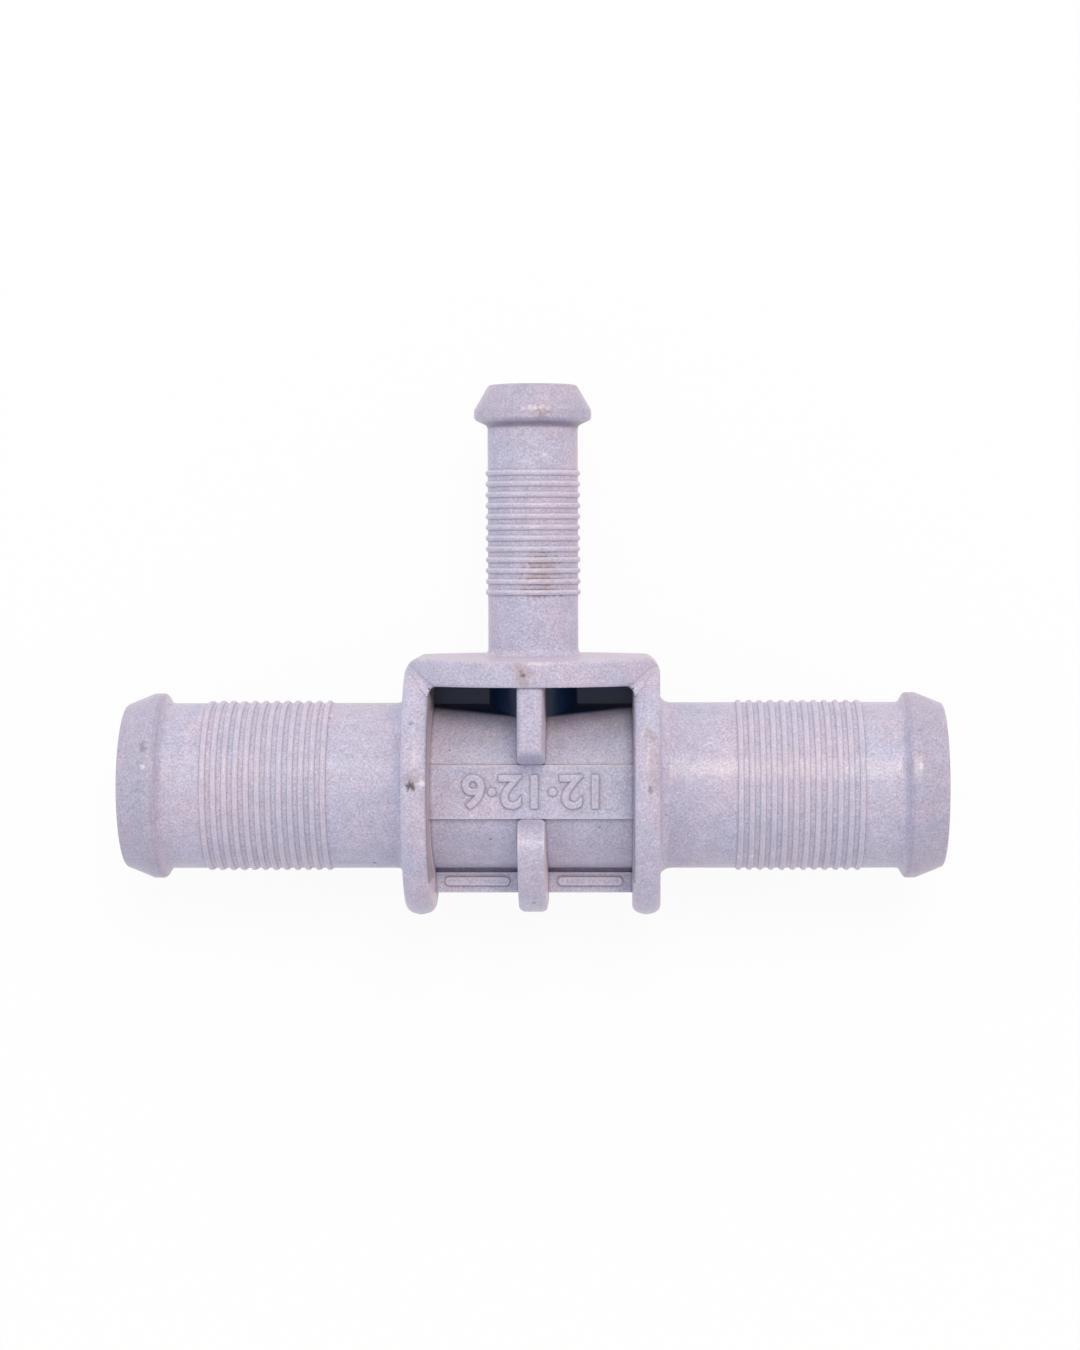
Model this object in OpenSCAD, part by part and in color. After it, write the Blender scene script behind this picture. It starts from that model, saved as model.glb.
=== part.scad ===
// Reducing hose tee, injection moulded in one piece from glass-filled plastic.
// The run lies along X and the branch points along +Y. The mould parts on the plane Z = 0,
// and the origin is where the two bore axes cross.

/* [Run] */
// Outside diameter of the run tube and its hose spigots
run_od = 16; // [14:0.1:17]
// Bore of the run
run_bore = 12; // [10:0.1:13]
// Distance from the branch axis to each open end of the run
run_reach = 39.4; // [38:0.1:50]
// Radius of the fillet at the root of each run spigot
run_root_r = 1.2; // [0.6:0.1:1.8]

/* [Branch] */
// Outside diameter of the branch tube and its hose spigot
branch_od = 8.7; // [8:0.05:10]
// Bore of the branch
branch_bore = 5.5; // [4:0.1:6.5]
// Distance from the run axis to the open end of the branch
branch_reach = 38.6; // [37:0.1:50]
// Radius of the fillet at the root of the branch spigot
branch_root_r = 0.9; // [0.5:0.1:1.4]

/* [Run beads] */
// Diameter over the bead at each end of the run
run_bead_od = 17.9; // [17.4:0.1:19]
// Width of the bead's crest
run_bead_land = 1; // [0.6:0.05:1.4]
// Length of the shoulder behind the crest
run_shoulder = 0.55; // [0.4:0.05:1.2]
// Length of the lead-in cone, from the bead's crest to the open end
run_cone = 2.7; // [2:0.05:4]
// Outside diameter of the open end
run_tip_od = 15.7; // [14.5:0.1:16]

/* [Branch bead] */
// Diameter over the bead at the end of the branch
branch_bead_od = 11.3; // [10.6:0.1:12.5]
// Width of the bead's crest
branch_bead_land = 0.9; // [0.5:0.05:1.3]
// Length of the shoulder behind the crest
branch_shoulder = 0.6; // [0.4:0.05:1.4]
// Length of the lead-in cone, from the bead's crest to the open end
branch_cone = 2.4; // [2:0.05:4]
// Outside diameter of the open end
branch_tip_od = 8.5; // [7.6:0.05:8.7]

/* [Grip rings] */
// Number of rings on each spigot
ring_count = 12; // [4:1:13]
// Spacing of the rings
ring_pitch = 1.04; // [0.8:0.01:1.1]
// Height of a ring above its tube
ring_h = 0.2; // [0.1:0.01:0.25]
// Width of a ring at its foot
ring_w = 0.54; // [0.4:0.01:0.7]
// Distance from a run collar's face to its first ring
run_ring_start = 7.5; // [5:0.05:9]
// Distance from the branch collar's face to its first ring
branch_ring_start = 6.1; // [4:0.05:7]

/* [Collars] */
// Diameter of the two side collars and of the branch collar
collar_d = 25; // [24.6:0.1:27]
// Thickness of each collar at the parting plane
collar_t = 2.75; // [2.5:0.05:3.5]
// Distance between the outer faces of the side collars
body_w = 24.5; // [23:0.1:27]
// Distance from the run axis to the branch collar's outer face
branch_face = 12.6; // [12:0.1:13.5]
// Height of the crown of the side collars' rims
rim_crown = 0.35; // [0.1:0.05:0.5]
// Round along the top of that crown
rim_top_r = 1; // [0.4:0.1:1.4]
// Edge round of the side collars on the hose side
rim_outer_r = 1.1; // [0.4:0.05:1.2]
// Edge round of the side collars on the window side
rim_inner_r = 1; // [0.4:0.05:1.1]
// Edge round of the branch collar
branch_rim_r = 0.6; // [0.3:0.05:1.2]
// Round of the body's two outer corners, where the collars meet
corner_r = 1.9; // [0.6:0.1:2.2]
// Round of the windows' corners
window_r = 0.8; // [0.5:0.1:1.2]
// Draft of every wall that stands on the parting plane, in degrees
draft = 0.8; // [0.5:0.1:2]

/* [Centre rib] */
// Thickness of the rib at the parting plane
rib_t = 2.8; // [2:0.1:4]
// Height of the rib from the run axis on the side away from the branch
rib_r = 12.25; // [11:0.05:12.4]
// Height of the rib's straight front edge on the branch side
gusset_h = 12.1; // [11:0.05:12.3]
// Width of the gap in the rib at its front edge, above the size pad
gap_w = 7.6; // [6.5:0.1:9]
// Round of the rib's long edges
rib_edge_r = 0.65; // [0.2:0.05:0.8]
// Round of the rib's shoulder at the gap, on the branch side
gap_r = 1.1; // [0.4:0.1:1.8]
// Round of the rib's nose at the gap, on the side away from the branch
nose_r = 2.4; // [1:0.1:3]
// Round of the rib's upright edges at the gap
foot_r = 0.7; // [0.3:0.1:1]
// Round of the rib's upright edges at its far end
rib_tip_r = 0.9; // [0.7:0.1:1.2]

/* [Size pad] */
// Width of the flat pad along the run
pad_w = 5.1; // [4:0.1:6]
// Height of the pad's face above the run tube
pad_h = 0.12; // [0.05:0.01:0.5]

/* [Web and tie strip] */
// Thickness of the web in the parting plane
web_t = 2; // [1.2:0.1:3]
// Width of the tie strip between the side collars
strip_w = 1.95; // [1.5:0.05:2.1]
// Gap between the run tube and the tie strip
groove_w = 0.38; // [0.2:0.02:0.8]
// Thickness of the web at the bottom of that gap
groove_t = 0.6; // [0.4:0.1:1.1]
// Distance from the strip's inner edge to the middle of its raised bars
bar_in = 0.85; // [0.6:0.05:1]
// Length of each raised bar on the tie strip
bar_l = 6.2; // [3:0.1:6.6]
// Width of each raised bar
bar_w = 0.8; // [0.5:0.05:1.1]
// Height of each raised bar above the strip
bar_h = 0.3; // [0.1:0.05:0.6]

/* [Bore mouths] */
// Width of the chamfer at each open end
mouth = 0.4; // [0.2:0.05:0.6]

/* [Hidden] */
$fn = 96;
lavender = [0.74, 0.71, 0.78];

// Straight steps along a small round of a turned profile
round_steps = 5;
// How far each turned collar stands out of its drafted faces before they cut it
skin = 0.06;
// Depth by which joined shapes run into each other
lap = 0.5;
// Rounds of the bead: foot of the shoulder, back of the crest, front of the crest, open end
bead_rounds = [0.5, 0.4, 0.5, 0.3];

slope = tan(draft);
side_face = body_w / 2;
side_inner = side_face - collar_t;
window_top = branch_face - collar_t;
collar_r = collar_d / 2;
pad_z = run_od / 2 + pad_h;
strip_top = -run_od / 2 - groove_w;
strip_end = strip_top - strip_w;
bar_x = (side_inner + rib_t / 2) / 2;
foot_y = pad_w / 2;
foot_z = pad_z - skin;

function unit(v) = v / norm(v);

// Points of the round of radius r at corner b, on the way from a to c
function corner(a, b, c, r) =
    let (
        u = unit(a - b),
        w = unit(c - b),
        half = acos(u * w) / 2,
        middle = b + unit(u + w) * r / sin(half),
        from = b + u * r / tan(half) - middle,
        turn = sign(cross(u, w)) * (2 * half - 180)
    )
    [for (i = [0 : round_steps]) let (t = turn * i / round_steps)
        middle + [from.x * cos(t) - from.y * sin(t), from.x * sin(t) + from.y * cos(t)]];

// A path through [x, y, round] corners, whose first and last points stay sharp
function rounded(path) =
    let (xy = [for (p = path) [p.x, p.y]], last = len(path) - 1)
    [for (i = [0 : last]) each
        (i == 0 || i == last || path[i].z == 0 ? [xy[i]]
            : corner(xy[i - 1], xy[i], xy[i + 1], path[i].z))];

// One grip ring on a tube of radius r, as the top of a small circle
function ring(r, z) =
    let (bend = (pow(ring_w / 2, 2) + pow(ring_h, 2)) / (2 * ring_h), reach = acos(1 - ring_h / bend))
    [for (i = [-3 : 3]) [r + ring_h - bend * (1 - cos(reach * i / 3)), z + bend * sin(reach * i / 3)]];

// Outline of a hose spigot as [radius, height], from inside its collar to the middle of its open end
function spigot(od, face, root_r, ring_start, reach, bead_od, land, shoulder, cone, tip_od) =
    let (
        r = od / 2,
        sunk = face - (r + root_r) * slope - skin,
        crest = reach - cone,
        heel = crest - land - shoulder
    )
    concat(
        [[r, sunk]],
        [for (a = [0 : 15 : 90]) [r + root_r * (1 - sin(a)), sunk + root_r * (1 - cos(a))]],
        [for (i = [0 : ring_count - 1]) each ring(r, face + ring_start + i * ring_pitch)],
        rounded([
            [r, heel - lap, 0],
            [r, heel, bead_rounds[0]],
            [bead_od / 2, crest - land, bead_rounds[1]],
            [bead_od / 2, crest, bead_rounds[2]],
            [tip_od / 2, reach, bead_rounds[3]],
            [0, reach, 0]
        ])
    );

// Turns a shape drawn for the Z axis so that it lies along X or Y
module along_x() { rotate([90, 0, 90]) children(); }
module along_y() { rotate([-90, 0, 0]) children(); }

// Section of a wall that stands h high on both sides of the parting plane, half_t to each side there,
// and leans in by the given slope; its far corners have the round r
function drafted(half_t, h, lean, r = 0) =
    let (
        half_top = half_t - h * lean,
        top = rounded([[half_t, 0, 0], [half_top, h, r], [-half_top, h, r], [-half_t, 0, 0]])
    )
    concat(top, [for (i = [1 : len(top) - 2]) -top[i]]);

// The run: both spigots and the tube between them, turned in one outline
module run_tube() {
    half = spigot(run_od, side_face, run_root_r, run_ring_start, run_reach,
        run_bead_od, run_bead_land, run_shoulder, run_cone, run_tip_od);
    along_x() rotate_extrude()
        polygon(concat([for (i = [len(half) - 1 : -1 : 0]) [half[i].x, -half[i].y]], half));
}

// The branch: from the run's axis, through the window, to its open end
module branch_tube() {
    along_y() rotate_extrude()
        polygon(concat([[0, 0], [branch_od / 2, 0]],
            spigot(branch_od, branch_face, branch_root_r, branch_ring_start, branch_reach,
                branch_bead_od, branch_bead_land, branch_shoulder, branch_cone, branch_tip_od)));
}

// The rim of a side collar as [radius, place along the run, round]: a low crown with rounded edges
function side_rim() =
    let (
        middle = side_face - collar_t / 2,
        half = collar_t / 2 + skin,
        peak = collar_r + rim_top_r * (norm([rim_crown, half]) / half - 1)
    )
    [
        [peak - rim_crown, middle - half, rim_inner_r],
        [peak, middle, rim_top_r],
        [peak - rim_crown, middle + half, rim_outer_r]
    ];

// A collar turned about the Z axis from the corners of its rim
module collar_disc(rim) {
    rotate_extrude()
        polygon(rounded(concat([[0, rim[0].y, 0]], rim, [[0, rim[len(rim) - 1].y, 0]])));
}

// The space between two faces across the run and one face across the branch, open away from the
// branch. All three lean by the given slope from the parting plane
module between(half_x, far_y, lean) {
    h = 2 * collar_r;
    intersection() {
        along_y() linear_extrude(2 * h, center = true)
            polygon(drafted(half_x, h, lean));
        along_x() linear_extrude(2 * h, center = true)
            polygon([[-h, -h], [far_y - h * lean, -h], [far_y, 0], [far_y - h * lean, h], [-h, h]]);
    }
}

// What a round of radius r leaves of an upright edge at the origin, which points to +X and +Y
module upright_corner(r) {
    translate([-r, -r, 0]) linear_extrude(2 * collar_d, center = true)
        difference() {
            square(r + lap);
            circle(r);
        }
}

// Fills one corner of the windows with a fillet that reaches up to the collars' rims
module corner_fill() {
    lean = collar_r / 2 * slope;
    intersection() {
        translate([side_inner + lean, window_top + lean, 0]) upright_corner(window_r);
        union() {
            along_x() cylinder(h = 2 * side_face, r = collar_r - rim_inner_r, center = true);
            along_y() cylinder(h = branch_face, r = collar_r - branch_rim_r - skin);
        }
    }
}

// The two side collars and the branch collar, joined at the body's corners
module collars() {
    difference() {
        union() {
            difference() {
                intersection() {
                    union() {
                        for (side = [0, 1]) mirror([side, 0, 0]) along_x()
                            collar_disc(side_rim());
                        along_y() collar_disc([
                            [collar_r, window_top - skin, branch_rim_r],
                            [collar_r, branch_face + skin, branch_rim_r]
                        ]);
                    }
                    between(side_face, branch_face, slope);
                }
                between(side_inner, window_top, -slope);
            }
            for (side = [0, 1]) mirror([side, 0, 0]) corner_fill();
        }
        for (side = [0, 1]) mirror([side, 0, 0])
            translate([side_face, branch_face, 0]) upright_corner(corner_r);
    }
}

// The web and the tie strip in the parting plane
module web() {
    reach_x = side_inner + lap;
    plate = [
        [0, window_top + lap, web_t],
        [strip_end, strip_top, web_t],
        [strip_top - lap, -run_od / 2 + lap, groove_t]
    ];
    for (p = plate)
        translate([-reach_x, p[0], -p[2] / 2]) cube([2 * reach_x, p[1] - p[0], p[2]]);
    for (side = [-1, 1])
        translate([side * bar_x, strip_top - bar_in, 0])
            linear_extrude(web_t + 2 * bar_h, center = true) {
                square([bar_l - bar_w, bar_w], center = true);
                for (end = [-1, 1]) translate([end * (bar_l - bar_w) / 2, 0]) circle(d = bar_w, $fn = 32);
            }
}

// The flat pad on each side of the run tube
module size_pad() {
    along_x() linear_extrude(2 * (side_inner + lap), center = true)
        square([pad_w, 2 * pad_z], center = true);
}

// The rib's nose as [y, z]: a round that runs from the rib's rim into the face that leans to the pad
function nose() =
    let (
        foot = [-foot_y, foot_z],
        up = unit([-gap_w / 2, sqrt(pow(rib_r, 2) - pow(gap_w / 2, 2))] - foot),
        back = [-up.y, up.x],
        start = foot + back * nose_r,
        rise = sqrt(pow(up * start, 2) - start * start + pow(rib_r - nose_r, 2)) - up * start,
        middle = start + up * rise,
        from = atan2(middle.y, middle.x),
        to = atan2(-back.y, -back.x)
    )
    [for (i = [0 : 2 * round_steps]) let (t = from + (to - from) * i / (2 * round_steps))
        middle + nose_r * [cos(t), sin(t)]];

// Outline of the rib in front of the parting plane, as [y, z]. Its two ends face each other across
// the gap above the pad. The disc's own rim lies inside this outline
function rib_front() =
    let (nose = nose(), far = 1.2)
    concat(
        [[-far * rib_r, 0], [-far * rib_r, far * nose[0].y], far * nose[0]],
        nose,
        [[-foot_y, foot_z]],
        rounded([
            [foot_y, foot_z, 0],
            [gap_w / 2, gusset_h, gap_r],
            [window_top + lap, gusset_h, 0]
        ])
    );

// The disc of the rib, which shows on the side away from the branch
module rib_disc() {
    intersection() {
        along_x() rotate_extrude()
            polygon(rounded([
                [0, -rib_t / 2 - skin, 0],
                [rib_r, -rib_t / 2 - skin, rib_edge_r + skin],
                [rib_r, rib_t / 2 + skin, rib_edge_r + skin],
                [0, rib_t / 2 + skin, 0]
            ]));
        along_y() translate([0, 0, -rib_r - lap]) linear_extrude(rib_r + lap)
            polygon(drafted(rib_t / 2, rib_r + lap, slope));
    }
}

// The rib across the middle of the body: a disc on one side, a gusset to the branch collar on the other
module centre_rib() {
    front = rib_front();
    difference() {
        intersection() {
            along_x() linear_extrude(2 * rib_t, center = true)
                polygon(concat(front, [for (i = [len(front) - 1 : -1 : 1]) [front[i].x, -front[i].y]]));
            union() {
                rib_disc();
                along_y() linear_extrude(window_top + lap)
                    polygon(drafted(rib_t / 2, gusset_h, slope, rib_edge_r));
            }
        }
        for (side = [0, 1]) mirror([side, 0, 0]) {
            translate([rib_t / 2, -foot_y, 0]) upright_corner(foot_r);
            translate([rib_t / 2, foot_y, 0]) mirror([0, 1, 0]) upright_corner(foot_r);
            translate([rib_t / 2, -rib_r, 0]) mirror([0, 1, 0]) upright_corner(rib_tip_r);
        }
    }
}

// The bores, with a chamfer at each mouth
module bores() {
    along_x() cylinder(h = 2 * run_reach + 1, d = run_bore, center = true);
    along_y() cylinder(h = branch_reach + 1, d = branch_bore);
    for (side = [0, 1]) mirror([side, 0, 0]) along_x()
        mouth_cut(run_reach, run_bore);
    along_y() mouth_cut(branch_reach, branch_bore);
}

// The chamfer at one mouth, for a bore along the Z axis
module mouth_cut(reach, bore) {
    translate([0, 0, reach - mouth])
        cylinder(h = mouth + lap, d1 = bore, d2 = bore + 2 * (mouth + lap));
}

module tee_connector() {
    color(lavender) difference() {
        union() {
            run_tube();
            branch_tube();
            collars();
            web();
            size_pad();
            centre_rib();
        }
        bores();
    }
}

tee_connector();
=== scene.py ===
import math
import bmesh
import bpy
import numpy
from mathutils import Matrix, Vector
from mathutils.bvhtree import BVHTree


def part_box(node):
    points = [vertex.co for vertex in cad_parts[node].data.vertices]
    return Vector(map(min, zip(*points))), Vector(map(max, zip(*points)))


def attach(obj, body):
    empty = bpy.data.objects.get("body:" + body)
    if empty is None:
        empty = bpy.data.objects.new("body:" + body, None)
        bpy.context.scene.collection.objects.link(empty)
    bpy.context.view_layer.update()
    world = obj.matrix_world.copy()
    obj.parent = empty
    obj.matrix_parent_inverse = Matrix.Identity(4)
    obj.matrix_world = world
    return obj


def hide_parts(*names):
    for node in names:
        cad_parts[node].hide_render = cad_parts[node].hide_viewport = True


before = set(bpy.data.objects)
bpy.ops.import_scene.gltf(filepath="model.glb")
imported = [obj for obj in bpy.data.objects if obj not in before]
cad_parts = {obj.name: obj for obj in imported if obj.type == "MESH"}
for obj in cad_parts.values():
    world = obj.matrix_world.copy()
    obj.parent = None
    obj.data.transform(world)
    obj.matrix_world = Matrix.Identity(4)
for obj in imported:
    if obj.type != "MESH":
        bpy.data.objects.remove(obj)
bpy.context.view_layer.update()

mm = 0.001


def hexColour(text):  # sRGB hex, as the photo shows it, to linear
    parts = [int(text[i:i + 2], 16) / 255 for i in (0, 2, 4)]
    linear = [c / 12.92 if c <= 0.04045 else ((c + 0.055) / 1.055) ** 2.4 for c in parts]
    return (*linear, 1.0)


# Adds a node with its settings and links; a node given as an input stands for its first live output
def addNode(tree, kind, inputs=None, **settings):
    node = tree.nodes.new(kind)
    for name, value in settings.items():
        setattr(node, name, value)
    for key, value in (inputs or {}).items():
        socket = next(s for s in node.inputs if key in (s.identifier, s.name))
        if isinstance(value, bpy.types.Node):
            value = next(s for s in value.outputs if s.enabled)
        if isinstance(value, bpy.types.NodeSocket):
            tree.links.new(value, socket)
        else:
            socket.default_value = value
    return node


def addObject(name, data):
    thing = bpy.data.objects.new(name, data)
    bpy.context.scene.collection.objects.link(thing)
    return thing


def smoothByAngle(mesh, degrees):  # round stretches shade smooth, moulded corners stay crisp
    shape = bmesh.new()
    shape.from_mesh(mesh)
    for face in shape.faces:
        face.smooth = True
    for edge in shape.edges:
        edge.smooth = len(edge.link_faces) == 2 and edge.calc_face_angle() < math.radians(degrees)
    shape.to_mesh(mesh)
    shape.free()


def bakeShape(source, name):  # the evaluated shape as a plain mesh, with no modifier left
    depsgraph = bpy.context.evaluated_depsgraph_get()
    mesh = bpy.data.meshes.new_from_object(source.evaluated_get(depsgraph), depsgraph=depsgraph)
    mesh.name = name
    bpy.data.objects.remove(source)
    return addObject(name, mesh)


def finishPiece(piece):
    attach(piece, "root")
    print(piece.name, "has", len(piece.data.polygons), "faces")


# Camera, where the photo was taken from: above, a little past the branch collar and to the right
photoCamera = {
    "place": (8.47, 23.3, 285.0),  # mm
    "lookAt": (0.63, 10.67, 0.0),  # mm
    "turn": 0.19,  # degrees, clockwise as the camera sees it
    "focalPixels": 2950.0,
    "imageHeight": 1350,
    "sensor": 36.0,  # mm
    "clipStart": 0.01,  # m
}


def placeCamera(settings):
    camera = bpy.data.cameras.new("photoCamera")
    camera.sensor_width = settings["sensor"]
    camera.lens = settings["focalPixels"] * settings["sensor"] / settings["imageHeight"]
    camera.clip_start = settings["clipStart"]
    eye = addObject("photoCamera", camera)
    place = Vector(settings["place"]) * mm
    back = (place - Vector(settings["lookAt"]) * mm).normalized()
    turn = math.radians(settings["turn"])
    right = Vector((math.sin(turn), math.cos(turn), 0)).cross(back).normalized()
    up = back.cross(right)
    matrix = eye.matrix_world.copy()
    for row in range(3):
        matrix[row][:] = (right[row], up[row], back[row], place[row])
    eye.matrix_world = matrix
    bpy.context.scene.camera = eye


placeCamera(photoCamera)
print("camera placed")

# Glass-filled nylon, injection moulded: a matte, finely grainy skin with tiny painted glints where fibre
# ends reach it; corners are worn paler and carry a painted highlight, brown grime lies in a few of the
# branch's grooves, and painted shade darkens the grooves, inner corners, spigot ends, collar walls and
# the deep recess
nylonFinish = {
    "base": "b8b6cc",
    "cool": "adb2cd",
    "warm": "cdbac8",
    "cloudShare": 0.3,
    "cloudMm": 5.5,
    "cloudFrom": 0.36,  # noise at which the tint is all cool
    "cloudTo": 0.64,  # and all warm
    "blotchMm": 1.3,  # the uneven dulling that handling leaves
    "blotchShade": 0.06,
    "shadeFrom": 0.3,  # noise at which a blotch or a grain is darkest
    "shadeTo": 0.7,  # and palest
    "grainMm": 0.21,  # the mould's eroded skin, drawn a little coarser than real so that it shows
    "grainDepthMm": 0.035,
    "grainShade": 0.25,
    # painted glints: pale dots in the colour that stand for sparkle off the fibre ends
    "glint": "ddd8e4",
    "glintMm": 0.55,  # spacing of the fibre ends
    "glintShare": 0.12,  # share of them that glint
    "glintEdge": 0.22,  # radius of a glint, in spacings
    "glintCore": 0.06,  # within which it is at its brightest
    "rough": 0.58,
    "roughSpread": 0.1,  # more and less with the grain
    "ior": 1.5,
    "bodyGloss": 0.2,
    "bloom": "ffe4e2",  # the pale bloom that old nylon has, seen along the surface
    "bloomShare": 0.3,
    "bloomRough": 0.3,
    "skinShare": 0.52,  # the resin-rich skin over the glass fibres, satin when seen along it
    "skinRough": 0.28,
    "softEdgeMm": 0.12,  # the round that every moulded edge has
    "softEdgeRays": 4,
    "aroundRays": 6,  # rays that feel how much solid or air is round a point
    # paler corners and crests: partly edge wear, partly a painted highlight
    "edgeWearAndHighlight": "d9d3df",
    "edgeWearAndHighlightMm": 0.3,
    "edgeWearAndHighlightFrom": 0.95,  # share of solid behind the surface where the paler wear and painted highlight start
    "edgeWearAndHighlightTo": 0.6,  # and where it is full, on a corner
    "edgeWearAndHighlightShare": 0.55,
    # painted shade in grooves and inner corners, and in the bands below
    "paintedShade": "6f6478",
    "paintedShadeMm": 0.32,
    "paintedShadeFrom": 0.97,  # share of free air over the surface where the painted shade starts
    "paintedShadeTo": 0.45,  # and where it is full, deep in a groove
    "paintedShadeShare": 0.65,
    "raggedMm": 0.5,  # size of the tatters round a mark
    "raggedShare": 2.4,  # how far they stray, in radii of the mark
    "markCore": 0.35,  # share of a mark's radius that it covers fully
    "grooveGain": 2.2,  # a mark that lies in grooves fills them this much sooner
    "paintedShadeBands": [  # painted shade on the spigots' ends and along the beads' inner shoulders, by distance from the middle in mm
        {"axis": "X", "from": 35.7, "to": 50.0, "cover": 0.2},
        {"axis": "X", "from": 35.4, "to": 36.1, "cover": 0.25},
        {"axis": "Y", "from": 35.3, "to": 50.0, "cover": 0.18},
        {"axis": "Y", "from": 34.35, "to": 35.15, "cover": 0.65},
    ],
    "wall": "3d3f57",  # painted shade on the side collars' inner faces
    "wallX": (8.9, 9.95),  # mm
    "wallReach": (8.75, 12.25),  # mm from the run's axis
    "wallY": (-8.7, 9.9),  # mm
    "wallCover": 0.65,
    "paintedRecessShade": "142d52",  # painted shade behind the run, between it and the branch collar
    "recessY": (6.57, 10.6),  # mm, at the middle
    "recessLean": -0.1,  # how it draws back towards the sides
    "recessX": 9.9,  # mm
    "recessZ": 7.2,  # mm
    "fadeMm": 0.25,  # over which each of these starts and ends
}

# Scuffs, specks, grime and painted highlights on the beads' crests: place and radius in mm, colour, how
# strongly it covers, and whether it only lies in grooves
wearMarksAndHighlights = [
    {"place": (-0.60, 11.23, 12.48), "radius": 0.42, "colour": "3f363c", "cover": 0.9},
    {"place": (-0.60, 11.23, 12.48), "radius": 1.5, "colour": "9a8580", "cover": 0.4},
    {"place": (-11.13, 0.94, 12.43), "radius": 0.55, "colour": "3a343b", "cover": 0.95},
    {"place": (-11.10, 1.60, 12.40), "radius": 1.3, "colour": "8f8080", "cover": 0.4},
    {"place": (-10.03, 1.11, 12.24), "radius": 0.5, "colour": "e6e0e8", "cover": 0.8},
    {"place": (-11.14, 6.59, 10.58), "radius": 0.4, "colour": "8a7878", "cover": 0.6},
    {"place": (-35.02, 7.90, 1.37), "radius": 0.22, "colour": "4d4149", "cover": 0.8},
    {"place": (-19.34, 6.79, 4.22), "radius": 0.16, "colour": "5a3f48", "cover": 0.85},
    {"place": (-15.18, -7.21, 3.45), "radius": 0.3, "colour": "5f434e", "cover": 0.85},
    {"place": (1.19, 31.78, 4.17), "radius": 0.35, "colour": "e2d9df", "cover": 0.6},
    {"place": (-7.72, 3.90, 6.98), "radius": 0.14, "colour": "55505c", "cover": 0.8},
    {"place": (-3.90, -4.60, 6.54), "radius": 0.16, "colour": "5a5360", "cover": 0.8},
    {"place": (6.40, -3.40, 7.24), "radius": 0.14, "colour": "55505c", "cover": 0.8},
    {"place": (0.79, 21.62, 4.30), "radius": 1.9, "colour": "7a5a48", "cover": 1.0, "grooves": True},
    {"place": (0.9, 19.3, 4.20), "radius": 2.7, "colour": "6c4c3c", "cover": 1.0, "grooves": True},
    {"place": (1.10, 20.60, 4.27), "radius": 1.7, "colour": "b39c98", "cover": 0.25},
    {"place": (11.24, 5.56, 11.13), "radius": 0.9, "colour": "93857f", "cover": 0.4},
    {"place": (11.22, 0.54, 12.43), "radius": 0.5, "colour": "77686c", "cover": 0.6},
    {"place": (11.75, 3.60, 11.90), "radius": 1.5, "colour": "93807f", "cover": 0.3},
    {"place": (11.75, 1.40, 12.35), "radius": 1.5, "colour": "93807f", "cover": 0.35},
    {"place": (10.13, -10.75, 6.03), "radius": 0.35, "colour": "e3b9a0", "cover": 0.8},
    {"place": (0.15, -10.78, 5.81), "radius": 0.3, "colour": "6d5f66", "cover": 0.6},
    # painted highlight on the left bead's crest
    {"place": (-36.71, 2.35, 8.62), "radius": 0.4, "colour": "ece8f0", "cover": 0.75},
    {"place": (-36.82, 4.28, 7.79), "radius": 0.6, "colour": "77717f", "cover": 0.5},
    # painted highlight on the right bead's crest
    {"place": (36.61, 2.45, 8.61), "radius": 0.35, "colour": "ece8f0", "cover": 0.6},
    {"place": (36.50, 5.72, 6.87), "radius": 0.3, "colour": "8b7a80", "cover": 0.35},
    {"place": (36.38, 3.73, 8.13), "radius": 0.3, "colour": "8b7a80", "cover": 0.35},
    # painted highlight along the branch bead's crest
    {"place": (-0.60, 36.25, 5.60), "radius": 0.35, "colour": "eae4ec", "cover": 0.5},
    {"place": (-0.05, 36.25, 5.62), "radius": 0.35, "colour": "eae4ec", "cover": 0.6},
    {"place": (0.50, 36.25, 5.60), "radius": 0.35, "colour": "eae4ec", "cover": 0.6},
    {"place": (1.05, 36.25, 5.55), "radius": 0.35, "colour": "eae4ec", "cover": 0.6},
    {"place": (1.60, 36.20, 5.45), "radius": 0.35, "colour": "eae4ec", "cover": 0.4},
    {"place": (1.10, 35.55, 5.63), "radius": 0.9, "colour": "97837f", "cover": 0.45},
    {"place": (19.55, -6.38, 5.00), "radius": 0.22, "colour": "efebf2", "cover": 0.9},
    {"place": (20.88, -6.37, 5.12), "radius": 0.22, "colour": "efebf2", "cover": 0.9},
]


def nylonGrey(tree, place, grain, settings):  # slow clouds of cool and warm grey, blotches and grain
    cloud = addNode(tree, "ShaderNodeTexNoise", {
        "Vector": place, "Scale": 1 / (settings["cloudMm"] * mm), "Detail": 3.0, "Roughness": 0.6})
    warmth = addNode(tree, "ShaderNodeMapRange", {
        "Value": cloud, "From Min": settings["cloudFrom"], "From Max": settings["cloudTo"]})
    tint = addNode(tree, "ShaderNodeMix", {
        "Factor_Float": warmth,
        "A_Color": hexColour(settings["cool"]),
        "B_Color": hexColour(settings["warm"])}, data_type="RGBA")
    colour = addNode(tree, "ShaderNodeMix", {
        "Factor_Float": settings["cloudShare"],
        "A_Color": hexColour(settings["base"]),
        "B_Color": tint}, data_type="RGBA")
    blotch = addNode(tree, "ShaderNodeTexNoise", {
        "Vector": place, "Scale": 1 / (settings["blotchMm"] * mm), "Detail": 2.0})
    for pattern, depth in ((blotch, settings["blotchShade"]), (grain, settings["grainShade"])):
        shade = addNode(tree, "ShaderNodeMapRange", {
            "Value": pattern, "From Min": settings["shadeFrom"], "From Max": settings["shadeTo"],
            "To Min": 1 - depth, "To Max": 1 + depth})
        colour = addNode(tree, "ShaderNodeVectorMath", {"Vector": colour, "Scale": shade},
                         operation="SCALE")
    return colour


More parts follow.
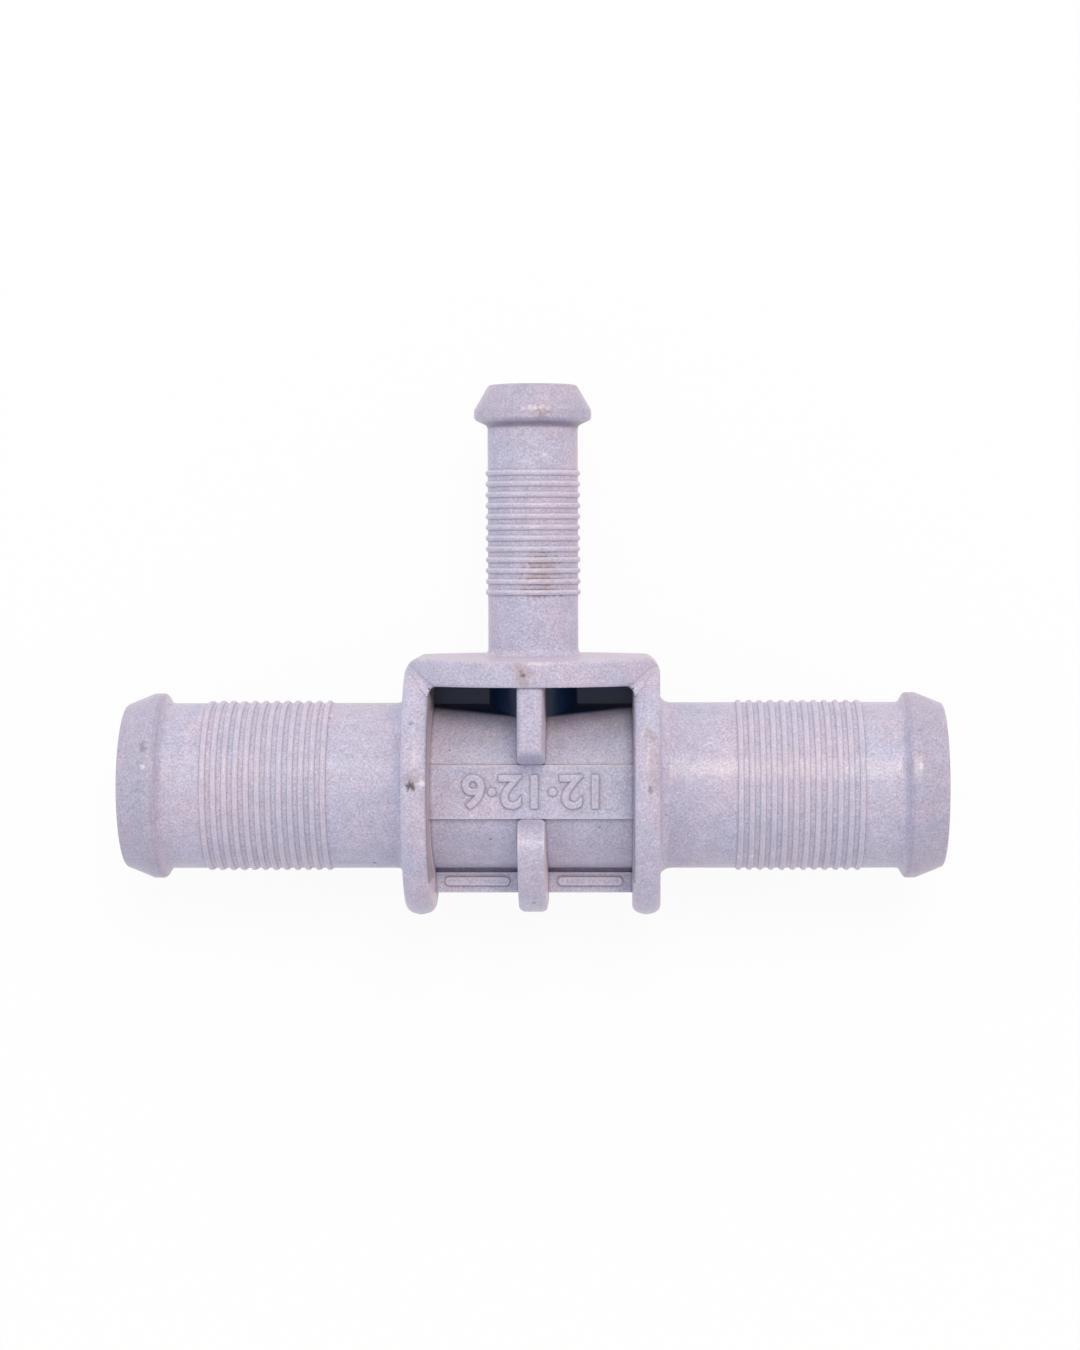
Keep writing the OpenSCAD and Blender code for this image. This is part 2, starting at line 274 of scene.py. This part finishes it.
def paintedFibreGlints(tree, place, settings):  # a painted glint: a tiny pale dot at some of the fibre ends
    fibre = addNode(tree, "ShaderNodeTexVoronoi", {
        "Vector": place, "Scale": 1 / (settings["glintMm"] * mm)}, voronoi_dimensions="3D")
    dot = addNode(tree, "ShaderNodeMapRange", {
        "Value": fibre.outputs["Distance"],
        "From Min": settings["glintEdge"], "From Max": settings["glintCore"]})
    pick = addNode(tree, "ShaderNodeSeparateColor", {"Color": fibre.outputs["Color"]})
    chosen = addNode(tree, "ShaderNodeMath", {
        "Value": pick, "Value_001": settings["glintShare"]}, operation="LESS_THAN")
    return addNode(tree, "ShaderNodeMath", {"Value": dot, "Value_001": chosen}, operation="MULTIPLY")


def edgeWearAndHighlightCorners(tree, settings):  # corners have less solid behind them than flat stretches have; there they are worn paler and carry a painted highlight
    behind = addNode(tree, "ShaderNodeAmbientOcclusion", {"Distance": settings["edgeWearAndHighlightMm"] * mm},
                     samples=settings["aroundRays"], inside=True, only_local=True)
    return addNode(tree, "ShaderNodeMapRange", {
        "Value": behind.outputs["AO"], "From Min": settings["edgeWearAndHighlightFrom"],
        "From Max": settings["edgeWearAndHighlightTo"], "To Max": settings["edgeWearAndHighlightShare"]})


def howDeepInGroove(tree, settings):  # grooves and inner corners have less free air over them; this sets the painted groove shade and where groove dirt lies
    over = addNode(tree, "ShaderNodeAmbientOcclusion", {"Distance": settings["paintedShadeMm"] * mm},
                   samples=settings["aroundRays"])
    return addNode(tree, "ShaderNodeMapRange", {
        "Value": over.outputs["AO"], "From Min": settings["paintedShadeFrom"],
        "From Max": settings["paintedShadeTo"]})


def scuffsSpecksAndHighlights(tree, place, deepInGroove, settings, marks):  # how far each mark covers, and its colour
    stray = addNode(tree, "ShaderNodeTexNoise", {
        "Vector": place, "Scale": 1 / (settings["raggedMm"] * mm), "Detail": 4.0})
    tatter = addNode(tree, "ShaderNodeVectorMath", {
        "Vector": stray.outputs["Color"], "Vector_001": (0.5, 0.5, 0.5)}, operation="SUBTRACT")
    covers = []
    for mark in marks:
        radius = mark["radius"] * mm
        ragged = addNode(tree, "ShaderNodeVectorMath", {
            "Vector": tatter, "Vector_001": (settings["raggedShare"] * radius,) * 3,
            "Vector_002": place}, operation="MULTIPLY_ADD")
        away = addNode(tree, "ShaderNodeVectorMath", {
            "Vector": ragged, "Vector_001": [v * mm for v in mark["place"]]}, operation="DISTANCE")
        cover = addNode(tree, "ShaderNodeMapRange", {
            "Value": away, "From Min": radius, "From Max": settings["markCore"] * radius,
            "To Max": mark["cover"]}, interpolation_type="SMOOTHSTEP")
        if mark.get("grooves"):
            deep = addNode(tree, "ShaderNodeMath", {"Value": cover, "Value_001": deepInGroove},
                           operation="MULTIPLY")
            cover = addNode(tree, "ShaderNodeMath", {
                "Value": deep, "Value_001": settings["grooveGain"]}, operation="MULTIPLY", use_clamp=True)
        covers.append((cover, mark["colour"]))
    return covers


def between(tree, value, low, high, fade):  # 1 within this stretch, given in mm, and 0 beyond it
    inside = 1.0
    for start, stop in ((low, low + fade), (high, high - fade)):
        edge = addNode(tree, "ShaderNodeMapRange", {
            "Value": value, "From Min": start * mm, "From Max": stop * mm})
        inside = addNode(tree, "ShaderNodeMath", {"Value": inside, "Value_001": edge},
                         operation="MULTIPLY")
    return inside


def paintedShadeOnEndsWallsAndRecess(tree, place, settings):  # painted shade on the spigots' ends and beads' shoulders, on the side collars' inner faces and behind the run
    fade = settings["fadeMm"]
    alongBranch = addNode(tree, "ShaderNodeSeparateXYZ", {"Vector": place}).outputs["Y"]
    apart = addNode(tree, "ShaderNodeSeparateXYZ", {
        "Vector": addNode(tree, "ShaderNodeVectorMath", {"Vector": place}, operation="ABSOLUTE")}).outputs
    covers = []
    # painted shade on the spigots' ends and along the beads' inner shoulders
    for band in settings["paintedShadeBands"]:
        ring = between(tree, apart[band["axis"]], band["from"], band["to"], fade)
        cover = addNode(tree, "ShaderNodeMath", {"Value": ring, "Value_001": band["cover"]},
                        operation="MULTIPLY")
        covers.append((cover, settings["paintedShade"]))

    # painted shade on the side collars' inner faces
    offRun = addNode(tree, "ShaderNodeVectorMath", {
        "Vector": place, "Vector_001": (0.0, 1.0, 1.0)}, operation="MULTIPLY")
    fromRun = addNode(tree, "ShaderNodeVectorMath", {"Vector": offRun}, operation="LENGTH")
    walled = between(tree, apart["X"], *settings["wallX"], fade)
    for value, span in ((fromRun.outputs["Value"], settings["wallReach"]),
                        (alongBranch, settings["wallY"])):
        walled = addNode(tree, "ShaderNodeMath", {
            "Value": walled, "Value_001": between(tree, value, *span, fade)}, operation="MULTIPLY")
    cover = addNode(tree, "ShaderNodeMath", {"Value": walled, "Value_001": settings["wallCover"]},
                    operation="MULTIPLY")
    covers.append((cover, settings["wall"]))

    # painted shade behind the run, between it and the branch collar
    leaning = addNode(tree, "ShaderNodeMath", {
        "Value": apart["X"], "Value_001": settings["recessLean"], "Value_002": alongBranch},
        operation="MULTIPLY_ADD")
    recessShade = between(tree, leaning, *settings["recessY"], fade)
    for axis, furthest in (("X", settings["recessX"]), ("Z", settings["recessZ"])):
        within = between(tree, apart[axis], -1.0, furthest, fade)  # from below 0, so full at the middle
        recessShade = addNode(tree, "ShaderNodeMath", {"Value": recessShade, "Value_001": within},
                         operation="MULTIPLY")
    covers.append((recessShade, settings["paintedRecessShade"]))
    return covers


def mouldedNylon(name, settings, marks):
    material = bpy.data.materials.new(name)
    material.use_nodes = True
    tree = material.node_tree
    tree.nodes.clear()
    place = addNode(tree, "ShaderNodeTexCoord").outputs["Object"]
    grain = addNode(tree, "ShaderNodeTexNoise", {
        "Vector": place, "Scale": 1 / (settings["grainMm"] * mm), "Detail": 2.0, "Roughness": 0.7})
    # painted shade in grooves and inner corners, where little free air is over the surface
    deepInGroove = howDeepInGroove(tree, settings)
    paintedShadeCover = addNode(tree, "ShaderNodeMath", {
        "Value": deepInGroove, "Value_001": settings["paintedShadeShare"]}, operation="MULTIPLY")
    covers = [
        (paintedFibreGlints(tree, place, settings), settings["glint"]),
        (edgeWearAndHighlightCorners(tree, settings), settings["edgeWearAndHighlight"]),
        (paintedShadeCover, settings["paintedShade"]),
        *scuffsSpecksAndHighlights(tree, place, deepInGroove, settings, marks),
        *paintedShadeOnEndsWallsAndRecess(tree, place, settings),
    ]
    colour = nylonGrey(tree, place, grain, settings)
    for cover, over in covers:
        colour = addNode(tree, "ShaderNodeMix", {
            "Factor_Float": cover, "A_Color": colour, "B_Color": hexColour(over)}, data_type="RGBA")

    rough = addNode(tree, "ShaderNodeMapRange", {
        "Value": grain, "To Min": settings["rough"] - settings["roughSpread"],
        "To Max": settings["rough"] + settings["roughSpread"]})
    softEdge = addNode(tree, "ShaderNodeBevel", {"Radius": settings["softEdgeMm"] * mm},
                       samples=settings["softEdgeRays"])
    bump = addNode(tree, "ShaderNodeBump", {
        "Height": grain, "Distance": settings["grainDepthMm"] * mm, "Strength": 1.0, "Normal": softEdge})
    skin = addNode(tree, "ShaderNodeBsdfPrincipled", {
        "Base Color": colour, "Roughness": rough, "Normal": bump, "IOR": settings["ior"],
        "Specular IOR Level": settings["bodyGloss"],
        "Sheen Weight": settings["bloomShare"], "Sheen Roughness": settings["bloomRough"],
        "Sheen Tint": hexColour(settings["bloom"]),
        "Coat Weight": settings["skinShare"], "Coat Roughness": settings["skinRough"]})
    addNode(tree, "ShaderNodeOutputMaterial", {"Surface": skin})
    return material


nylon = mouldedNylon("glassFilledNylonMoulded", nylonFinish, wearMarksAndHighlights)
finishWithoutEdgeWearAndHighlight = {**nylonFinish, "edgeWearAndHighlightShare": 0.0}  # for the fillets, which nothing reaches to rub, so they get no edge wear and no painted highlight
nylonWithoutEdgeWearAndHighlight = mouldedNylon("glassFilledNylonWithoutEdgeWearAndHighlight", finishWithoutEdgeWearAndHighlight, [])
print("nylon made")

# The moulding itself, from the solid: its loose triangles are joined and flat faces made whole
mouldingShape = {
    "joinMm": 0.001,
    "flatDegrees": 0.3,  # faces that meet at less than this become one
    "cornerDegrees": 30,  # a sharper edge than this shades crisp
    "edgeMm": 0.2,  # the round on each edge that is sharper than the next angle
    "edgeSteps": 2,
    "edgeDegrees": 40,
}

# Fillets in the two corners where the collars meet, as a ball rolled along the corner leaves them
cornerFillet = {
    "ballMm": 0.8,
    "stepMm": 0.05,
    "from": (9.0, 9.0),  # mm, on the side collar and along the branch
    "to": (12.4, 12.7),  # mm
    "dropMm": 20.0,  # height from which the moulding's surface is felt
    "missedMm": -12.5,  # height taken where there is nothing under a point
    "coverMm": 0.004,  # laid on over what the ball leaves, which is left out where it is thinner
    "deepestMm": 1.0,
    "sinkMm": 0.5,
    "floorMm": 1.5,  # the outside below this height is left as it is
    "cornerDegrees": 50,
}


def makeMoulding(settings):
    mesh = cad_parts["tee_connector"].data.copy()
    shape = bmesh.new()
    shape.from_mesh(mesh)
    bmesh.ops.remove_doubles(shape, verts=shape.verts, dist=settings["joinMm"] * mm)
    bmesh.ops.dissolve_limit(shape, angle_limit=math.radians(settings["flatDegrees"]),
                             verts=shape.verts, edges=shape.edges)
    shape.to_mesh(mesh)
    shape.free()
    smoothByAngle(mesh, settings["cornerDegrees"])
    mesh.materials.clear()
    mesh.materials.append(nylon)
    moulding = addObject("teeMouldingDraft", mesh)
    rounded = moulding.modifiers.new("roundedEdges", "BEVEL")
    rounded.width = settings["edgeMm"] * mm
    rounded.segments = settings["edgeSteps"]
    rounded.limit_method = "ANGLE"
    rounded.angle_limit = math.radians(settings["edgeDegrees"])
    even = moulding.modifiers.new("evenShading", "WEIGHTED_NORMAL")
    even.mode = "FACE_AREA_WITH_ANGLE"
    even.keep_sharp = True
    moulding = bakeShape(moulding, "teeMoulding")
    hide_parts("tee_connector")
    finishPiece(moulding)
    return moulding


def rollBall(heights, radius, step):  # fills what a ball of this radius can't reach from above
    beyond = 1000.0  # mm, further than any surface
    reach = int(radius / step)
    spots = [(i, j, math.sqrt(radius ** 2 - (i * step) ** 2 - (j * step) ** 2))
             for i in range(-reach, reach + 1) for j in range(-reach, reach + 1)
             if math.hypot(i, j) * step < radius]
    rows, columns = heights.shape
    for sign, pick in ((1, numpy.maximum), (-1, numpy.minimum)):
        wide = numpy.pad(heights, reach, mode="edge")
        heights = numpy.full((rows, columns), -sign * beyond)
        for i, j, drop in spots:
            part = wide[reach + i:reach + i + rows, reach + j:reach + j + columns]
            heights = pick(heights, part + sign * drop)
    return heights


def makeCornerFillets(settings, moulding):
    solid = BVHTree.FromPolygons([v.co / mm for v in moulding.data.vertices],
                                 [p.vertices[:] for p in moulding.data.polygons])
    step = settings["stepMm"]
    margin = int(settings["ballMm"] / step) + 1  # so that the ball also rolls over what is beyond
    columns, rows = (int((high - low) / step) for low, high in zip(settings["from"], settings["to"]))
    points, faces = [], []
    for side in (-1, 1):
        place = {}
        ground = numpy.zeros((rows + 2 * margin, columns + 2 * margin))
        for j, i in numpy.ndindex(ground.shape):
            x = side * (settings["from"][0] + (i - margin) * step)
            y = settings["from"][1] + (j - margin) * step
            found = solid.ray_cast(Vector((x, y, settings["dropMm"])), Vector((0, 0, -1)))[0]
            ground[j, i] = found.z if found else settings["missedMm"]
            place[j, i] = (x, y)
        filled = rollBall(ground, settings["ballMm"], step)
        raised = filled - ground
        good = ((raised > settings["coverMm"]) & (raised < settings["deepestMm"])
                & (ground > settings["floorMm"]))
        number = {}
        cells = [(j, i) for j in range(margin, margin + rows) for i in range(margin, margin + columns)
                 if good[j:j + 2, i:i + 2].all()]
        for j, i in cells:
            corners = []
            for key in ((j, i), (j, i + 1), (j + 1, i + 1), (j + 1, i)):
                if key not in number:
                    number[key] = len(points)
                    x, y = place[key]
                    points.append((x, y, filled[key] + settings["coverMm"]))
                    points.append((x, y, ground[key] - settings["sinkMm"]))
                corners.append(number[key])
            faces.append(corners)
    rim = {}  # the edges that only one cell has
    for corners in faces:
        for pair in zip(corners, corners[1:] + corners[:1]):
            edge = tuple(sorted(pair))
            rim[edge] = None if edge in rim else pair
    walls = [(a, b, b + 1, a + 1) for a, b in filter(None, rim.values())]
    under = [[k + 1 for k in reversed(corners)] for corners in faces]
    mesh = bpy.data.meshes.new("cornerFillets")
    mesh.from_pydata([[v * mm for v in point] for point in points], [], faces + walls + under)
    shape = bmesh.new()
    shape.from_mesh(mesh)
    bmesh.ops.recalc_face_normals(shape, faces=shape.faces)
    shape.to_mesh(mesh)
    shape.free()
    smoothByAngle(mesh, settings["cornerDegrees"])
    mesh.materials.append(nylonWithoutEdgeWearAndHighlight)
    finishPiece(addObject("cornerFillets", mesh))


makeCornerFillets(cornerFillet, makeMoulding(mouldingShape))

# Grip rings round the three spigots: one low round-backed ring, swept and then repeated at the pitch
gripRings = {
    "count": 12,
    "pitchMm": 1.04,
    "heightMm": 0.2,
    "roundMm": 0.282,  # radius of the ring's back
    "coverMm": 0.012,  # how far it stands over the solid's own, plainer ring
    "reachDegrees": 80,  # how far round its back goes before it is sunk in the tube
    "unevenMm": 0.03,
    "unevenEveryMm": 1.2,
    "unevenFrom": 0.4,  # noise at which a ring starts to swell
    "unevenTo": 0.65,  # and at which it is at its thickest
    "sides": 128,
    "backSteps": 10,
    "cornerDegrees": 40,
}
spigots = [  # each row stands upright until it is turned, in degrees
    {"name": "gripRingsLeft", "tubeMm": 8.0, "startMm": 19.75, "turn": (0, -90, 0)},
    {"name": "gripRingsRight", "tubeMm": 8.0, "startMm": 19.75, "turn": (0, 90, 0)},
    {"name": "gripRingsBranch", "tubeMm": 4.35, "startMm": 18.7, "turn": (-90, 0, 0)},
]


def ringTree(settings):
    tree = bpy.data.node_groups.new("gripRingRow", "GeometryNodeTree")
    tree.interface.new_socket("Geometry", in_out="INPUT", socket_type="NodeSocketGeometry")
    for name in ("Path Radius", "Back Radius", "Reach", "Start", "Pitch", "Uneven", "Uneven Every"):
        tree.interface.new_socket(name, in_out="INPUT", socket_type="NodeSocketFloat")
    for name in ("Count", "Sides", "Back Steps"):
        tree.interface.new_socket(name, in_out="INPUT", socket_type="NodeSocketInt")
    tree.interface.new_socket("Turn", in_out="INPUT", socket_type="NodeSocketVector")
    tree.interface.new_socket("Material", in_out="INPUT", socket_type="NodeSocketMaterial")
    tree.interface.new_socket("Geometry", in_out="OUTPUT", socket_type="NodeSocketGeometry")
    given = addNode(tree, "NodeGroupInput").outputs

    loop = addNode(tree, "GeometryNodeCurvePrimitiveCircle", {
        "Resolution": given["Sides"], "Radius": given["Path Radius"]})
    begin = addNode(tree, "ShaderNodeMath", {"Value": given["Reach"], "Value_001": -1.0},
                    operation="MULTIPLY")
    sweep = addNode(tree, "ShaderNodeMath", {"Value": given["Reach"], "Value_001": 2.0},
                    operation="MULTIPLY")
    back = addNode(tree, "GeometryNodeCurveArc", {
        "Resolution": given["Back Steps"], "Radius": given["Back Radius"], "Start Angle": begin,
        "Sweep Angle": sweep, "Connect Center": True}, mode="RADIUS")
    ring = addNode(tree, "GeometryNodeCurveToMesh", {"Curve": loop, "Profile Curve": back})
    first = addNode(tree, "ShaderNodeCombineXYZ", {"Z": given["Start"]})
    step = addNode(tree, "ShaderNodeCombineXYZ", {"Z": given["Pitch"]})
    row = addNode(tree, "GeometryNodeMeshLine", {
        "Count": given["Count"], "Start Location": first, "Offset": step})
    copies = addNode(tree, "GeometryNodeInstanceOnPoints", {"Points": row, "Instance": ring})
    solid = addNode(tree, "GeometryNodeRealizeInstances", {"Geometry": copies})

    every = addNode(tree, "ShaderNodeMath", {"Value": 1.0, "Value_001": given["Uneven Every"]},
                    operation="DIVIDE")
    swell = addNode(tree, "ShaderNodeTexNoise", {
        "Vector": addNode(tree, "GeometryNodeInputPosition"), "Scale": every, "Detail": 2.0})
    rise = addNode(tree, "ShaderNodeMapRange", {
        "Value": swell, "From Min": settings["unevenFrom"], "From Max": settings["unevenTo"],
        "To Max": given["Uneven"]})
    shift = addNode(tree, "ShaderNodeVectorMath", {
        "Vector": addNode(tree, "GeometryNodeInputNormal"), "Scale": rise}, operation="SCALE")
    worn = addNode(tree, "GeometryNodeSetPosition", {"Geometry": solid, "Offset": shift})
    turned = addNode(tree, "GeometryNodeTransform", {"Geometry": worn, "Rotation": given["Turn"]})
    whole = addNode(tree, "GeometryNodeRealizeInstances", {"Geometry": turned})
    coated = addNode(tree, "GeometryNodeSetMaterial", {"Geometry": whole, "Material": given["Material"]})
    addNode(tree, "NodeGroupOutput", {"Geometry": coated})
    return tree


def makeGripRings(settings, spigot, tree):
    draft = addObject(spigot["name"] + "Draft", bpy.data.meshes.new(spigot["name"]))
    rings = draft.modifiers.new("rings", "NODES")
    rings.node_group = tree
    sizes = {
        "Path Radius": (spigot["tubeMm"] + settings["heightMm"] - settings["roundMm"]) * mm,
        "Back Radius": (settings["roundMm"] + settings["coverMm"]) * mm,
        "Reach": math.radians(settings["reachDegrees"]),
        "Start": spigot["startMm"] * mm,
        "Pitch": settings["pitchMm"] * mm,
        "Uneven": settings["unevenMm"] * mm,
        "Uneven Every": settings["unevenEveryMm"] * mm,
        "Count": settings["count"],
        "Sides": settings["sides"],
        "Back Steps": settings["backSteps"],
        "Turn": [math.radians(angle) for angle in spigot["turn"]],
        "Material": nylon,
    }
    for socket in tree.interface.items_tree:
        if socket.in_out == "INPUT" and socket.name in sizes:
            rings[socket.identifier] = sizes[socket.name]
    piece = bakeShape(draft, spigot["name"])
    smoothByAngle(piece.data, settings["cornerDegrees"])
    finishPiece(piece)


rowOfRings = ringTree(gripRings)
for oneSpigot in spigots:
    makeGripRings(gripRings, oneSpigot, rowOfRings)

# Plain raised numbers on the flat pad, read from the branch's side
padNumbers = {
    "text": "12·12·6",
    "heightMm": 3.4,
    "widthMm": 13.0,
    "centre": (-0.1, 0.0),  # mm
    "padMm": 8.12,  # height of the pad's face over the run's axis
    "wallMm": 0.07,  # the upright part of a stroke's side
    "roundMm": 0.19,  # and the round over it
    "roundSteps": 3,
    "thinMm": 0.03,  # taken off each side of a stroke
    "fontMm": 4.7,
    "cornerDegrees": 50,
}


def makePadNumbers(settings):
    digits = bpy.data.curves.new("padNumbers", "FONT")  # set in mm, made metres below
    digits.body = settings["text"]
    digits.size = settings["fontMm"]
    digits.extrude = settings["wallMm"]
    digits.bevel_depth = settings["roundMm"]
    digits.bevel_resolution = settings["roundSteps"]
    digits.offset = -settings["thinMm"]
    numbers = bakeShape(addObject("padNumbersDraft", digits), "padNumbers")
    mesh = numbers.data
    low = [min(v.co[axis] for v in mesh.vertices) for axis in range(2)]
    high = [max(v.co[axis] for v in mesh.vertices) for axis in range(2)]
    spread = (settings["widthMm"] / (high[0] - low[0]), settings["heightMm"] / (high[1] - low[1]))
    for vertex in mesh.vertices:
        for axis in range(2):
            middle = (low[axis] + high[axis]) / 2
            vertex.co[axis] = (settings["centre"][axis] - (vertex.co[axis] - middle) * spread[axis]) * mm
        vertex.co.z = (settings["padMm"] + vertex.co.z) * mm
    mesh.materials.clear()
    mesh.materials.append(nylon)
    smoothByAngle(mesh, settings["cornerDegrees"])
    finishPiece(numbers)


makePadNumbers(padNumbers)

# Plain pale floor that the collars lie on, a soft sky and one soft key lamp; the camera sees the floor
# and the sky as white
studio = {
    "floorSize": 4.0,  # m
    "floor": "f2f1f4",
    "whiteShare": 0.92,  # how much of the floor is plain white to the camera; the rest keeps the shadow
    "coolSide": "e4f0fa",  # sky over the left side
    "warmSide": "ecdde1",  # sky over the right side
    "skyFront": 0.79,  # strength of the sky that the collars' open side faces
    "skyBack": 1.18,  # and of the sky beyond the branch
    "key": "ffefd2",
    "keyPower": 6.0,  # W
    "keySize": 0.5,  # m
    "keyPlace": (0.14, 0.54, 1.06),  # m
}


def seenAsWhite(tree, plain, share):  # plain to every ray but those of the camera, gloss and glass
    ray = addNode(tree, "ShaderNodeLightPath")
    seen = ray.outputs["Is Camera Ray"]
    for name in ("Is Glossy Ray", "Is Transmission Ray"):
        seen = addNode(tree, "ShaderNodeMath", {"Value": seen, "Value_001": ray.outputs[name]},
                       operation="MAXIMUM")
    seen = addNode(tree, "ShaderNodeMath", {"Value": seen, "Value_001": share}, operation="MULTIPLY")
    kind = "ShaderNodeBackground" if share == 1 else "ShaderNodeEmission"
    white = addNode(tree, kind, {"Color": (1.0, 1.0, 1.0, 1.0), "Strength": 1.0})
    return addNode(tree, "ShaderNodeMixShader", {"Fac": seen, "Shader": plain, "Shader_001": white})


def makeFloor(settings):
    half = settings["floorSize"] / 2
    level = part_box("tee_connector")[0].z
    mesh = bpy.data.meshes.new("floor")
    mesh.from_pydata([(x * half, y * half, level) for x, y in ((-1, -1), (1, -1), (1, 1), (-1, 1))],
                     [], [(0, 1, 2, 3)])
    floor = addObject("floor", mesh)
    material = bpy.data.materials.new("paperBackdrop")
    material.use_nodes = True
    tree = material.node_tree
    tree.nodes.clear()
    paper = addNode(tree, "ShaderNodeBsdfDiffuse", {"Color": hexColour(settings["floor"])})
    addNode(tree, "ShaderNodeOutputMaterial", {
        "Surface": seenAsWhite(tree, paper, settings["whiteShare"])})
    mesh.materials.append(material)


def makeLight(settings):
    world = bpy.data.worlds.new("softBox")
    world.use_nodes = True
    tree = world.node_tree
    tree.nodes.clear()
    towards = addNode(tree, "ShaderNodeTexCoord").outputs["Generated"]
    side = addNode(tree, "ShaderNodeSeparateXYZ", {"Vector": towards})
    warmth = addNode(tree, "ShaderNodeMapRange", {
        "Value": side.outputs["X"], "From Min": -1.0, "From Max": 1.0})
    sky = addNode(tree, "ShaderNodeMix", {
        "Factor_Float": warmth,
        "A_Color": hexColour(settings["coolSide"]),
        "B_Color": hexColour(settings["warmSide"])}, data_type="RGBA")
    strength = addNode(tree, "ShaderNodeMapRange", {
        "Value": side.outputs["Y"], "From Min": -1.0, "From Max": 1.0,
        "To Min": settings["skyFront"], "To Max": settings["skyBack"]})
    air = addNode(tree, "ShaderNodeBackground", {"Color": sky, "Strength": strength})
    addNode(tree, "ShaderNodeOutputWorld", {"Surface": seenAsWhite(tree, air, 1)})
    bpy.context.scene.world = world
    lamp = bpy.data.lights.new("keyLamp", "AREA")
    lamp.shape = "DISK"
    lamp.size = settings["keySize"]
    lamp.energy = settings["keyPower"]
    lamp.color = hexColour(settings["key"])[:3]
    key = addObject("keyLamp", lamp)
    key.location = settings["keyPlace"]
    key.rotation_euler = Vector(settings["keyPlace"]).to_track_quat("Z", "Y").to_euler()


makeFloor(studio)
makeLight(studio)
bpy.context.scene.view_settings.view_transform = "Standard"
print("studio lit")
